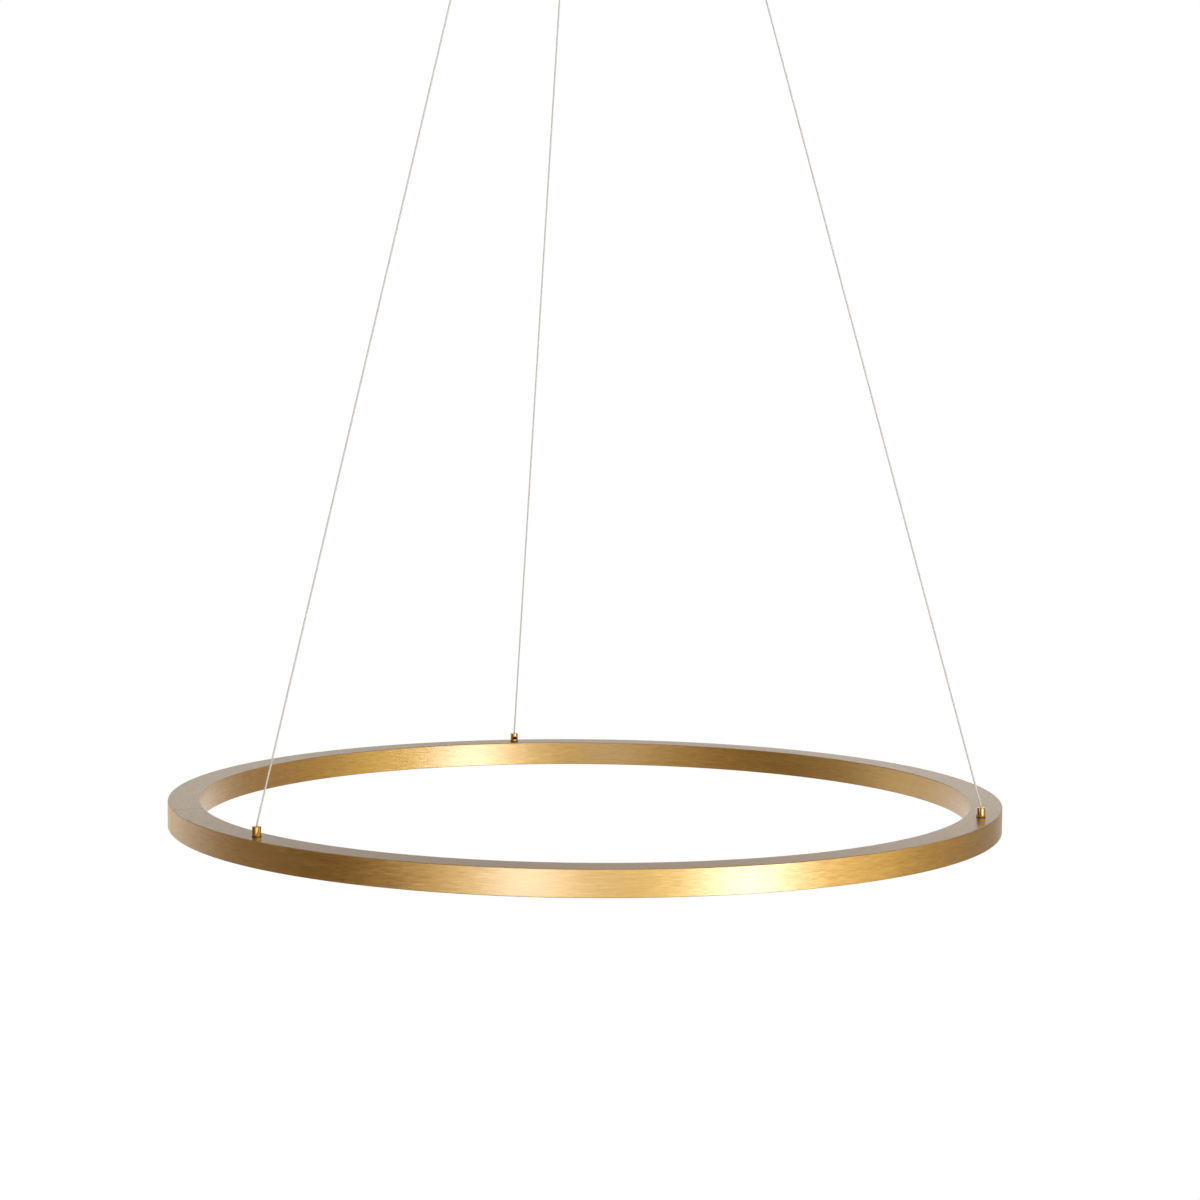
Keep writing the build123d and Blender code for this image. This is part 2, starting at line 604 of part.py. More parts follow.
def diffuser():
    """Opal cover with two legs whose beads snap into the channel's grooves."""
    inner = CHANNEL_INNER + DIFFUSER_PLAY
    outer = CHANNEL_OUTER - DIFFUSER_PLAY
    low = DIFFUSER_RECESS - RING_HEIGHT
    section = band(inner, outer, low, low + DIFFUSER_THICKNESS)
    section += band(inner, inner + LEG_THICKNESS, low, leg_top())
    section += band(outer - LEG_THICKNESS, outer, low, leg_top())
    section += band(inner - BEAD_PROUD, inner, bead_top() - BEAD_HEIGHT, bead_top())
    section += band(outer, outer + BEAD_PROUD, bead_top() - BEAD_HEIGHT, bead_top())
    return turned(section)


# Nodes

grippers = {name: (angle, GRIPPER_CIRCLE_RADIUS) for name, angle in WIRE_ANGLES.items()}
terminals = {name: (angle, RING_MIDDLE) for name, angle in WIRE_ANGLES.items()}
chip_angles = [SEAM_ANGLE + 360 / CHIP_COUNT * (step + 0.5) for step in range(CHIP_COUNT)]

nodes = {
    "ceiling_plate": ceiling_plate(),
    "plate_tabs": [polar(angle, TAB_FACE, plate_tab()) for angle in TAB_ANGLES],
    "canopy_cup": canopy_cup(),
    "canopy_side_screws": [polar(angle, CANOPY_RADIUS, canopy_side_screw()) for angle in TAB_ANGLES],
    "gripper_nuts": [polar(*place, under_canopy(gripper_nut())) for place in grippers.values()],
    "led_driver": led_driver(),
    "terminal_block": terminal_block(),
    "plate_screws": [Pos(x, y) * plate_screw() for x, y in plate_screw_places()],
    "earth_screw": earth_screw(),
    "earth_lead": earth_lead(),
    "driver_input_leads": input_leads(),
    "ring_profile": on_ring(ring_profile()),
    "seam_splice": on_ring(seam_splice()),
    "splice_screws": [polar(*place, on_ring(splice_screw())) for place in splice_screw_places()],
    "led_tray": on_ring(led_tray()),
    "tray_standoffs": [
        polar(angle, RING_MIDDLE + STANDOFF_OFFSET, on_ring(tray_standoff())) for angle in STANDOFF_ANGLES
    ],
    "tray_screws": [
        polar(angle, RING_MIDDLE + STANDOFF_OFFSET, on_ring(tray_screw())) for angle in STANDOFF_ANGLES
    ],
    "led_strip": on_ring(led_strip()),
    "led_chips": [polar(angle, RING_MIDDLE, on_ring(led_chip())) for angle in chip_angles],
    "diffuser": on_ring(diffuser()),
    "terminal_set_screws": [polar(*place, on_ring(set_screw())) for place in terminals.values()],
    "terminal_washers": [polar(*place, on_ring(terminal_washer())) for place in terminals.values()],
    "terminal_bushes": [polar(*place, on_ring(terminal_bush())) for place in terminals.values()],
    "terminal_nuts": [polar(*place, on_ring(terminal_nut())) for place in terminals.values()],
    "terminal_tags": [polar(*terminals[name], on_ring(terminal_tag())) for name in POWERED],
    "ring_leads": [polar(*terminals[name], on_ring(ring_lead())) for name in POWERED],
}
for name in WIRE_ANGLES:
    nodes[f"gripper_body_{name}"] = polar(*grippers[name], under_canopy(gripper_body()))
    nodes[f"gripper_cap_{name}"] = polar(*grippers[name], under_canopy(gripper_cap()))
    nodes[f"gripper_plunger_{name}"] = polar(*grippers[name], under_canopy(gripper_plunger()))
    nodes[f"wire_tail_{name}"] = polar(*grippers[name], wire_tail(name))
    nodes[f"suspension_wire_{name}"] = tube(wire_route(name), WIRE_DIAMETER, f"suspension_wire_{name}")
    nodes[f"wire_ferrule_{name}"] = polar(*terminals[name], on_ring(wire_ferrule()))
    nodes[f"ring_terminal_{name}"] = polar(*terminals[name], on_ring(ring_terminal()))
for name in POWERED:
    nodes[f"supply_lead_{name}"] = supply_lead(name)

os.makedirs("parts", exist_ok=True)
for name, shape in nodes.items():
    solids = Compound(shape) if isinstance(shape, list) else shape
    export_step(solids, f"parts/{name}.step")
print(len(nodes), "nodes")
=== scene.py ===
import json
from math import cos, pi, radians, sin

import bmesh
import bpy
from mathutils import Matrix, Vector


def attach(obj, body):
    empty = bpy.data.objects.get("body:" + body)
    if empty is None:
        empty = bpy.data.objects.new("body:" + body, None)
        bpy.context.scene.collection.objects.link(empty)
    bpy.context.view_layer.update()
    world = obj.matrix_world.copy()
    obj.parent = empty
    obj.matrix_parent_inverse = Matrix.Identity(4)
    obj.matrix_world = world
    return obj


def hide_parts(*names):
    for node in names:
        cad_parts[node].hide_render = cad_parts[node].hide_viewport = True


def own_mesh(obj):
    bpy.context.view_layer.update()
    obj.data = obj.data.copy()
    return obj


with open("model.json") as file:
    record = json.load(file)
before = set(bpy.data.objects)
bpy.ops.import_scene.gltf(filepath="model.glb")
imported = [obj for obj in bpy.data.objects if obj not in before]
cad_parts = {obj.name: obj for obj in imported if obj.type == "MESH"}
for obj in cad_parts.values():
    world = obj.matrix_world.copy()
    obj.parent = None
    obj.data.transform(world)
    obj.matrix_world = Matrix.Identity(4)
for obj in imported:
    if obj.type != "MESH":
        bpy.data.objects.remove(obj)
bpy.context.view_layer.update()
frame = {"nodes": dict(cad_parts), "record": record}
nodes = frame["nodes"]

# Sizes from the part's source, in metres, with angles in degrees
MM = 0.001
WIRE_ANGLES = {"back": 90.0, "left": 210.0, "right": 330.0}
RING_OUTER = 0.400
RING_INNER = 0.370
RING_TOP = -1.136
RING_HEIGHT = 0.024
RING_WALL = 0.002
RING_WEB = 0.002
RING_EDGE = 0.0006
RIB_DROP = 0.009
RIB_PROUD = 0.0015
RIB_THICKNESS = 0.0012
SEAM_ANGLE = 185.0
SEAM_GAP = 0.0003
CHIP_COUNT = 96
GRIPPER_RADIUS = 0.075
TERMINAL_RADIUS = 0.385
WIRE_DIAMETER = 0.0016
WIRE_TOP = -0.055
WIRE_UPPER_CORNER = -0.059
WIRE_LOWER_CORNER = -1.126
WIRE_FOOT = -1.1293
BLOCK_Y = -0.008  # the earth lead's middle too


# Shader nodes

TEXTURE_SPAN = 0.3, 0.7
TEXTURE_MIDDLE = 0.5


def new_material(name):
    """Material with a Principled shader; gives the material, its tree and the shader."""
    material = bpy.data.materials.new(name)
    material.use_nodes = True
    tree = material.node_tree
    return material, tree, tree.nodes["Principled BSDF"]


def give(tree, socket, value):
    """Sets an input to a number or a colour, or links it to another node's output."""
    if isinstance(value, bpy.types.NodeSocket):
        tree.links.new(value, socket)
    else:
        socket.default_value = value


def feed(tree, node, inputs):
    """Gives a node its inputs, each by name or number."""
    for key, value in inputs.items():
        give(tree, node.inputs[key], value)


def add(tree, kind, inputs=None, **settings):
    """New node of a kind, with its settings and its inputs."""
    node = tree.nodes.new(kind)
    for key, value in settings.items():
        setattr(node, key, value)
    feed(tree, node, inputs or {})
    return node


def math(tree, operation, *values):
    """One number worked out from others."""
    return add(tree, "ShaderNodeMath", dict(enumerate(values)), operation=operation).outputs[0]


def vector(tree, operation, *values):
    """One vector worked out from others."""
    inputs = dict(enumerate(values))
    return add(tree, "ShaderNodeVectorMath", inputs, operation=operation).outputs[0]


def scaled(tree, arrow, factor):
    """A vector times a number."""
    inputs = {"Vector": arrow, "Scale": factor}
    return add(tree, "ShaderNodeVectorMath", inputs, operation="SCALE").outputs[0]


def place(tree):
    """A point's place on the object at rest."""
    return add(tree, "ShaderNodeTexCoord").outputs["Object"]


def axes(tree):
    """The place's X, Y and Z."""
    return add(tree, "ShaderNodeSeparateXYZ", {0: place(tree)}).outputs


def stretched(tree, x, y, z):
    """The place, multiplied along each axis."""
    return vector(tree, "MULTIPLY", place(tree), (x, y, z))


def off_axis(tree):
    """The place's distance from the Z axis."""
    inputs = {0: stretched(tree, 1, 1, 0)}
    return add(tree, "ShaderNodeVectorMath", inputs, operation="LENGTH").outputs["Value"]


def bearing(tree):
    """The place's direction round the Z axis, in radians from the X axis."""
    spot = axes(tree)
    return math(tree, "ARCTAN2", spot["Y"], spot["X"])


def noise(tree, spot, scale, detail=3.0, roughness=0.5):
    """Cloudy texture."""
    inputs = {"Vector": spot, "Scale": scale, "Detail": detail, "Roughness": roughness}
    return add(tree, "ShaderNodeTexNoise", inputs).outputs["Fac"]


def mapped(tree, value, span, low, high, **settings):
    """A number mapped from a span on to the range from low to high."""
    start, end = span
    inputs = {"Value": value, "From Min": start, "From Max": end, "To Min": low, "To Max": high}
    return add(tree, "ShaderNodeMapRange", inputs, **settings).outputs[0]


def spread(tree, texture, low, high):
    """A texture's usual span mapped on to a range."""
    return mapped(tree, texture, TEXTURE_SPAN, low, high)


def blend(tree, share, first, second):
    """Colour between two colours."""
    node = add(tree, "ShaderNodeMix", data_type="RGBA")
    sockets = {socket.identifier: socket for socket in node.inputs}
    give(tree, sockets["Factor_Float"], share)
    give(tree, sockets["A_Color"], first)
    give(tree, sockets["B_Color"], second)
    return next(socket for socket in node.outputs if socket.type == "RGBA")


def between(tree, texture, dark, pale):
    """Colour that follows a texture from dark to pale."""
    return blend(tree, spread(tree, texture, 0, 1), dark, pale)


def bumped(tree, height, strength, depth):
    """Normal of a surface with a little relief."""
    inputs = {"Height": height, "Strength": strength, "Distance": depth}
    return add(tree, "ShaderNodeBump", inputs).outputs[0]


def rgb(red, green, blue):
    return (red, green, blue, 1.0)


# Materials


def brushed_gold():
    """Gold-toned anodised aluminium with brush lines round the Z axis, under a clear coat."""
    material, tree, shader = new_material("brushed_gold")
    dark, pale, patch = rgb(0.67, 0.41, 0.125), rgb(1.0, 0.69, 0.255), rgb(0.86, 0.56, 0.190)
    fine_share, broad_share, most_lean = 0.68, 0.32, 0.48
    direction = vector(tree, "NORMALIZE", stretched(tree, 1, 1, 0))
    across = math(tree, "ADD", off_axis(tree), axes(tree)["Z"])

    def lines(density, width):
        """Texture drawn out round the axis, with its density round it and its lines' width."""
        along = scaled(tree, direction, density)
        rows = math(tree, "DIVIDE", across, width)
        lift = add(tree, "ShaderNodeCombineXYZ", {"Z": rows}).outputs[0]
        return noise(tree, vector(tree, "ADD", along, lift), scale=1.0, roughness=0.65)

    fine = lines(density=32.0, width=0.8 * MM)
    broad = lines(density=5.0, width=2.8 * MM)
    parts = math(tree, "MULTIPLY", fine, fine_share), math(tree, "MULTIPLY", broad, broad_share)
    lined = math(tree, "ADD", *parts)
    cloud = noise(tree, place(tree), scale=6.0, detail=2.0)
    colour = blend(tree, spread(tree, cloud, 0, 0.25), between(tree, lined, dark, pale), patch)
    tangent = add(tree, "ShaderNodeTangent", direction_type="RADIAL", axis="Z").outputs[0]
    relief = bumped(tree, fine, strength=0.5, depth=0.05 * MM)
    off_middle = math(tree, "SUBTRACT", lines(density=30.0, width=0.55 * MM), TEXTURE_MIDDLE)
    sideways = scaled(tree, tangent, math(tree, "MULTIPLY", off_middle, most_lean))
    feed(tree, shader, {
        "Base Color": colour,
        "Roughness": spread(tree, lined, 0.34, 0.50),
        "Metallic": 1.0,
        "Anisotropic": 0.5,
        "Anisotropic Rotation": 0.25,
        "Tangent": tangent,
        "Normal": vector(tree, "NORMALIZE", vector(tree, "ADD", relief, sideways)),
        "Coat Weight": 0.8,
        "Coat Roughness": 0.25,
        "Coat IOR": 2.0,
    })
    return material


def polished_brass():
    """Turned and polished brass, with faint turning marks and finger haze."""
    material, tree, shader = new_material("polished_brass")
    dark, pale = rgb(0.62, 0.41, 0.130), rgb(0.74, 0.51, 0.185)
    marks = noise(tree, stretched(tree, 60, 60, 5000), scale=1.0, detail=2.0)
    haze = noise(tree, place(tree), scale=300.0)
    feed(tree, shader, {
        "Base Color": between(tree, haze, dark, pale),
        "Roughness": spread(tree, haze, 0.08, 0.15),
        "Metallic": 1.0,
        "Normal": bumped(tree, marks, strength=0.15, depth=0.01 * MM),
        "Coat Weight": 0.3,
        "Coat Roughness": 0.08,
    })
    return material


def coated_wire():
    """Bright steel strands under a thin clear coat."""
    material, tree, shader = new_material("coated_wire")
    dark, pale = rgb(0.64, 0.61, 0.565), rgb(0.79, 0.76, 0.70)
    strands = noise(tree, stretched(tree, 3000, 3000, 500), scale=1.0, detail=2.0)
    feed(tree, shader, {
        "Base Color": between(tree, strands, dark, pale),
        "Roughness": spread(tree, strands, 0.4, 0.55),
        "Metallic": 0.15,
        "Coat Weight": 0.3,
        "Coat Roughness": 0.4,
    })
    return material


def zinc_plate():
    """Dull zinc plating with a cool spangle."""
    material, tree, shader = new_material("zinc_plate")
    dark, pale, warm = rgb(0.60, 0.62, 0.64), rgb(0.74, 0.75, 0.76), rgb(0.70, 0.68, 0.60)
    cells = add(tree, "ShaderNodeTexVoronoi", {"Vector": place(tree), "Scale": 700.0})
    spangle = add(tree, "ShaderNodeSeparateColor", {0: cells.outputs["Color"]}).outputs[0]
    cloud = noise(tree, place(tree), scale=90.0, detail=4.0)
    colour = blend(tree, spread(tree, cloud, 0, 0.3), blend(tree, spangle, dark, pale), warm)
    feed(tree, shader, {
        "Base Color": colour,
        "Roughness": spread(tree, cloud, 0.38, 0.52),
        "Metallic": 0.35,
        "Normal": bumped(tree, cloud, strength=0.2, depth=0.05 * MM),
    })
    return material


def black_oxide_and_painted_shade():
    """Oiled black finish of the set screws, painted darker than that finish to stand for the shade
    in their recesses.
    """
    material, tree, shader = new_material("black_oxide_and_painted_shade")
    # painted shade: near-black colours, darker than black oxide itself, for the shade in the
    # screws' recesses
    dark, pale = rgb(0.008, 0.008, 0.009), rgb(0.022, 0.021, 0.020)
    cloud = noise(tree, place(tree), scale=900.0)
    feed(tree, shader, {
        "Base Color": between(tree, cloud, dark, pale),
        "Roughness": spread(tree, cloud, 0.35, 0.55),
        "Metallic": 0.7,
    })
    return material


def mill_aluminium():
    """Rolled aluminium as it leaves the mill."""
    material, tree, shader = new_material("mill_aluminium")
    dark, pale = rgb(0.66, 0.67, 0.68), rgb(0.80, 0.80, 0.81)
    streaks = noise(tree, stretched(tree, 40, 900, 900), scale=1.0)
    feed(tree, shader, {
        "Base Color": between(tree, streaks, dark, pale),
        "Roughness": spread(tree, streaks, 0.35, 0.5),
        "Metallic": 1.0,
        "Normal": bumped(tree, streaks, strength=0.2, depth=0.03 * MM),
    })
    return material


def opal_diffuser():
    """Satin opal acrylic: light wanders under its surface."""
    material, tree, shader = new_material("opal_diffuser")
    dark, pale = rgb(0.86, 0.86, 0.84), rgb(0.91, 0.91, 0.895)
    cloud = noise(tree, place(tree), scale=25.0)
    satin = noise(tree, place(tree), scale=2500.0, detail=2.0)
    feed(tree, shader, {
        "Base Color": between(tree, cloud, dark, pale),
        "Roughness": spread(tree, satin, 0.58, 0.70),
        "Specular IOR Level": 0.12,
        "Subsurface Weight": 0.4,
        "Subsurface Radius": (0.004, 0.004, 0.0035),
        "Subsurface Scale": 1.0,
        "Normal": bumped(tree, satin, strength=0.15, depth=0.02 * MM),
    })
    return material


def moulded(name, dark, pale, grain, low, high):
    """Moulded plastic with a fine spark-eroded texture, its roughness from low to high."""
    material, tree, shader = new_material(name)
    grains_per_cloud = 12
    cloud = noise(tree, place(tree), scale=grain / grains_per_cloud)
    texture = noise(tree, place(tree), scale=grain, detail=2.0)
    feed(tree, shader, {
        "Base Color": between(tree, cloud, dark, pale),
        "Roughness": spread(tree, texture, low, high),
        "Normal": bumped(tree, texture, strength=0.3, depth=0.04 * MM),
    })
    return material


def earth_insulation():
    """Green insulation with a yellow stripe along its upper side and one along its lower."""
    material, tree, shader = new_material("earth_insulation")
    dark, pale, yellow = rgb(0.03, 0.20, 0.04), rgb(0.05, 0.28, 0.06), rgb(0.75, 0.55, 0.03)
    half_stripe = 0.45 * MM
    off_middle = math(tree, "ABSOLUTE", math(tree, "SUBTRACT", axes(tree)["Y"], BLOCK_Y))
    stripe = math(tree, "LESS_THAN", off_middle, half_stripe)
    cloud = noise(tree, place(tree), scale=400.0, detail=2.0)
    feed(tree, shader, {
        "Base Color": blend(tree, stripe, between(tree, cloud, dark, pale), yellow),
        "Roughness": spread(tree, cloud, 0.4, 0.5),
    })
    return material


def led_package():
    """White package with a round window of yellow phosphor, once per pitch round the ring."""
    material, tree, shader = new_material("led_package")
    dark, pale, white = rgb(0.80, 0.55, 0.06), rgb(0.88, 0.66, 0.12), rgb(0.86, 0.86, 0.84)
    window_radius = 1.15 * MM
    pitch = 2 * pi / CHIP_COUNT
    from_seam = math(tree, "SUBTRACT", bearing(tree), radians(SEAM_ANGLE))
    share = math(tree, "FRACT", math(tree, "DIVIDE", from_seam, pitch))
    along = math(tree, "MULTIPLY", math(tree, "SUBTRACT", share, 0.5), pitch * TERMINAL_RADIUS)
    outwards = math(tree, "SUBTRACT", off_axis(tree), TERMINAL_RADIUS)
    squares = [math(tree, "MULTIPLY", way, way) for way in (along, outwards)]
    window = math(tree, "LESS_THAN", math(tree, "ADD", *squares), window_radius ** 2)
    cloud = noise(tree, place(tree), scale=1500.0, detail=2.0)
    feed(tree, shader, {
        "Base Color": blend(tree, window, white, between(tree, cloud, dark, pale)),
        "Roughness": spread(tree, cloud, 0.25, 0.4),
    })
    return material


white_case = rgb(0.80, 0.80, 0.785), rgb(0.86, 0.86, 0.845)
nylon = rgb(0.012, 0.012, 0.013), rgb(0.030, 0.029, 0.028)
sheath = rgb(0.74, 0.74, 0.72), rgb(0.82, 0.82, 0.80)
film = rgb(0.82, 0.82, 0.80), rgb(0.90, 0.90, 0.88)
finishes = {
    "gold_aluminium": brushed_gold(),
    "polished_brass": polished_brass(),
    "wire_steel": coated_wire(),
    "zinc_steel": zinc_plate(),
    "dark_steel": black_oxide_and_painted_shade(),
    "plain_aluminium": mill_aluminium(),
    "opal_plastic": opal_diffuser(),
    "black_nylon": moulded("black_nylon", *nylon, grain=1800.0, low=0.45, high=0.6),
    "white_plastic": moulded("white_case", *white_case, grain=1400.0, low=0.4, high=0.55),
    "lead_insulation": moulded("lead_insulation", *sheath, grain=900.0, low=0.4, high=0.5),
    "earth_insulation": earth_insulation(),
    "strip_film": moulded("strip_film", *film, grain=2200.0, low=0.3, high=0.42),
    "led_phosphor": led_package(),
}
for subpart in frame["record"]["subparts"]:
    mesh = nodes[subpart["node"]].data
    mesh.materials.clear()
    mesh.materials.append(finishes[subpart["material_slot"]])


# Meshes

RING_STEPS = 480
SEAM_CHAMFER = 0.4 * MM  # edges broken at the seam
FLAT_POINT = 1.5  # place of the point on each flat beside a rounded corner, in radii


def finished_mesh(name, form, slot, sharp=32.0):
    """Object with smooth faces and sharp corners, from a bmesh."""
    bmesh.ops.recalc_face_normals(form, faces=form.faces)
    mesh = bpy.data.meshes.new(name)
    form.to_mesh(mesh)
    form.free()
    for polygon in mesh.polygons:
        polygon.use_smooth = True
    mesh.set_sharp_from_angle(angle=radians(sharp))
    mesh.materials.append(finishes[slot])
    piece = bpy.data.objects.new(name, mesh)
    bpy.context.scene.collection.objects.link(piece)
    return piece


def rounded(corner, towards_a, towards_b, radius, steps=4):
    """Points round a square corner, with one on each flat beside it to keep the flats flat."""
    (x, y), (ax, ay), (bx, by) = corner, towards_a, towards_b
    centre_x, centre_y = x + (ax + bx) * radius, y + (ay + by) * radius
    beside = radius * FLAT_POINT
    points = [(x + ax * beside, y + ay * beside)]
    for step in range(steps + 1):
        turn = pi / 2 * step / steps
        points.append((
            centre_x - (bx * cos(turn) + ax * sin(turn)) * radius,
            centre_y - (by * cos(turn) + ay * sin(turn)) * radius,
        ))
    points.append((x + bx * beside, y + by * beside))
    return points


def ring_section():
    """Section of the rolled channel, as distance from the axis and height: outside, then hollow."""
    low = RING_TOP - RING_HEIGHT
    roof = RING_TOP - RING_WEB
    rib_top, rib_low = RING_TOP - RIB_DROP, RING_TOP - RIB_DROP - RIB_THICKNESS
    inner, outer = RING_INNER + RING_WALL, RING_OUTER - RING_WALL
    inner_rib, outer_rib = inner + RIB_PROUD, outer - RIB_PROUD
    section = rounded((RING_OUTER, low), (-1, 0), (0, 1), RING_EDGE)
    section += rounded((RING_OUTER, RING_TOP), (0, -1), (-1, 0), RING_EDGE)
    section += rounded((RING_INNER, RING_TOP), (1, 0), (0, -1), RING_EDGE)
    section += rounded((RING_INNER, low), (0, 1), (1, 0), RING_EDGE)
    section += [(inner, low), (inner, rib_low), (inner_rib, rib_low), (inner_rib, rib_top)]
    section += [(inner, rib_top), (inner, roof), (outer, roof), (outer, rib_top)]
    section += [(outer_rib, rib_top), (outer_rib, rib_low), (outer, rib_low), (outer, low)]
    return section


def drawn_in(section, amount):
    """The section with every side moved into the metal by the same amount."""
    points = [Vector(point) for point in section]
    moved = []
    for number, point in enumerate(points):
        before = (point - points[number - 1]).normalized()
        after = (points[(number + 1) % len(points)] - point).normalized()
        inwards = Vector((-before.y - after.y, before.x + after.x))
        moved.append(point + inwards * amount / (1 + before.dot(after)))
    return [tuple(point) for point in moved]


def ring_shell():
    """The ring from one side of its seam round to the other, with the seam's edges broken."""
    form = bmesh.new()
    section = ring_section()
    broken = drawn_in(section, SEAM_CHAMFER)
    half_gap = SEAM_GAP / 2 / TERMINAL_RADIUS
    break_angle = SEAM_CHAMFER / TERMINAL_RADIUS
    start = radians(SEAM_ANGLE) + half_gap
    sweep = 2 * pi - 2 * half_gap
    turns = [(start, broken)]
    for step in range(RING_STEPS + 1):
        run = (sweep - 2 * break_angle) * step / RING_STEPS
        turns.append((start + break_angle + run, section))
    turns.append((start + sweep, broken))
    rows = []
    for turn, outline in turns:
        rows.append([form.verts.new((r * cos(turn), r * sin(turn), z)) for r, z in outline])
    for row, after in zip(rows, rows[1:]):
        for number in range(len(section)):
            beside = number - 1
            form.faces.new((row[beside], row[number], after[number], after[beside]))
    form.faces.new(rows[0])
    form.faces.new(rows[-1])
    return finished_mesh("ring_shell", form, "gold_aluminium")


ring = ring_shell()
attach(ring, "ring")
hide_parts("ring_profile")


# Wires

BEND_RUN = 6  # from a corner of the route to its straight part, in diameters
LAY = 11.2 * MM  # length in which a strand goes once round
RINGS_PER_LAY = 12
STRANDS = 6
POINTS_PER_STRAND = 3
VALLEY = 0.94  # reach between two strands, as a share of the rope's radius


def centreline(name, points):
    """Points of the smooth spline whose control points are the route's."""
    curve = bpy.data.curves.new(name, "CURVE")
    curve.dimensions = "3D"
    curve.resolution_u = 24
    spline = curve.splines.new("NURBS")
    spline.points.add(len(points) - 1)
    for point, spot in zip(spline.points, points):
        point.co = (*spot, 1.0)
    spline.order_u = 3
    spline.use_endpoint_u = True
    holder = bpy.data.objects.new(name, curve)
    bpy.context.scene.collection.objects.link(holder)
    bpy.context.view_layer.update()
    evaluated = holder.evaluated_get(bpy.context.evaluated_depsgraph_get())
    line = bpy.data.meshes.new_from_object(evaluated)
    spots = [vertex.co.copy() for vertex in line.vertices]
    bpy.data.objects.remove(holder)
    bpy.data.meshes.remove(line)
    return spots


def walk(spots, step):
    """Evenly spaced points along a line, with the direction at each."""
    lengths = [(b - a).length for a, b in zip(spots, spots[1:])]
    total = sum(lengths)
    count = round(total / step)
    found, index, passed = [], 0, 0.0
    for number in range(count + 1):
        goal = total * number / count
        while index < len(lengths) - 1 and passed + lengths[index] < goal:
            passed += lengths[index]
            index += 1
        run = spots[index + 1] - spots[index]
        spot = spots[index] + run * ((goal - passed) / lengths[index])
        found.append((spot, run.normalized()))
    return found


def wire_rope(name, angle):
    """Twisted steel rope along its route, and the line that it follows."""
    outwards = Vector((cos(radians(angle)), sin(radians(angle)), 0))
    upper = outwards * GRIPPER_RADIUS
    lower = outwards * TERMINAL_RADIUS
    top_corner = upper + Vector((0, 0, WIRE_UPPER_CORNER))
    low_corner = lower + Vector((0, 0, WIRE_LOWER_CORNER))
    run = (low_corner - top_corner).normalized() * BEND_RUN * WIRE_DIAMETER
    line = centreline(name, [
        upper + Vector((0, 0, WIRE_TOP)),
        top_corner,
        top_corner + run,
        low_corner - run,
        low_corner,
        lower + Vector((0, 0, WIRE_FOOT)),
    ])
    sideways = outwards.cross(Vector((0, 0, 1)))
    form = bmesh.new()
    rows = []
    around = STRANDS * POINTS_PER_STRAND
    for number, (spot, direction) in enumerate(walk(line, LAY / RINGS_PER_LAY)):
        twist = 2 * pi * number / RINGS_PER_LAY
        other = direction.cross(sideways)
        row = []
        for corner in range(around):
            turn = twist + 2 * pi * corner / around
            reach = WIRE_DIAMETER / 2 * (1.0 if corner % POINTS_PER_STRAND else VALLEY)
            row.append(form.verts.new(spot + (sideways * cos(turn) + other * sin(turn)) * reach))
        rows.append(row)
    for row, after in zip(rows, rows[1:]):
        for corner in range(around):
            form.faces.new((row[corner - 1], row[corner], after[corner], after[corner - 1]))
    form.faces.new(rows[0])
    form.faces.new(rows[-1])
    return finished_mesh(name, form, "wire_steel", sharp=75.0), line


for side, angle in WIRE_ANGLES.items():
    wire, line = wire_rope(f"wire_rope_{side}", angle)
    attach(wire, f"wire_{side}")
    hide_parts(f"suspension_wire_{side}")
    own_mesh(wire)


# Studio: pale floor, white surroundings, and cards and a round wall that show only in reflections

FLOOR = -2.4
FLOOR_RADIUS = 2.6
FLOOR_SOLID = 0.45  # share of the radius out to which the floor is solid
WALL_RADIUS = 3.2
WALL_LOW, WALL_HIGH = -2.35, 1.2
WALL_FADE = -0.62, 0.15  # heights between which the wall dims
WALL_DIMMED = 0.10
WALL_TONES = {  # by direction, in degrees from the X axis
    -180: (0.10, 0.05, 0.008),
    -155: (0.17, 0.08, 0.008),
    -130: (0.41, 0.26, 0.05),
    -100: (0.38, 0.295, 0.14),
    -80: (1.12, 0.95, 0.46),
    -35: (1.10, 0.89, 0.385),
    0: (0.375, 0.28, 0.155),
    28: (0.28, 0.225, 0.18),
    75: (0.85, 0.84, 0.85),
    105: (0.70, 0.69, 0.73),
    135: (0.45, 0.43, 0.46),
    160: (0.22, 0.15, 0.085),
}
UPPER_TONE = (0.75, 0.73, 0.70)
UPPER_RISE = 0.1, 0.6  # heights between which the wall's pale upper part comes up
UPPER_BACK = 0.62, 0.80  # shares of the radius, towards the back, between which it goes out
DISC_FADE = 1.0, 2.1  # distances from the axis between which a disc takes on its rim's tone
LID_MIDDLE, LID_RIM = (0.36, 0.34, 0.31), (0.13, 0.09, 0.05)
BASE_TONE = (0.25, 0.25, 0.25)
COOL = (0.70, 0.79, 1.0)
WARM = (1.0, 0.90, 0.68)
FLAG_TONE = (1.0, 0.80, 0.36)
GLOW_FALL = -2.77  # leaves half of a softbox's glow at half its width from the middle
PANEL_REACH = 1.3  # from a softbox's middle to its side, in widths
CIRCLE_SIDES = 72
LAMP_TARGET = Vector((0, 0, RING_TOP))


def glowing(name, strength=1.0, colour=(1, 1, 1)):
    """Plain glowing material; gives the material, its tree and the shader."""
    material = bpy.data.materials.new(name)
    material.use_nodes = True
    tree = material.node_tree
    tree.nodes.clear()
    shader = add(tree, "ShaderNodeEmission", {"Color": rgb(*colour), "Strength": strength})
    add(tree, "ShaderNodeOutputMaterial", {"Surface": shader.outputs[0]})
    return material, tree, shader


def surface(tree, shader):
    """Makes a shader the material's surface."""
    feed(tree, tree.nodes["Material Output"], {"Surface": shader.outputs[0]})


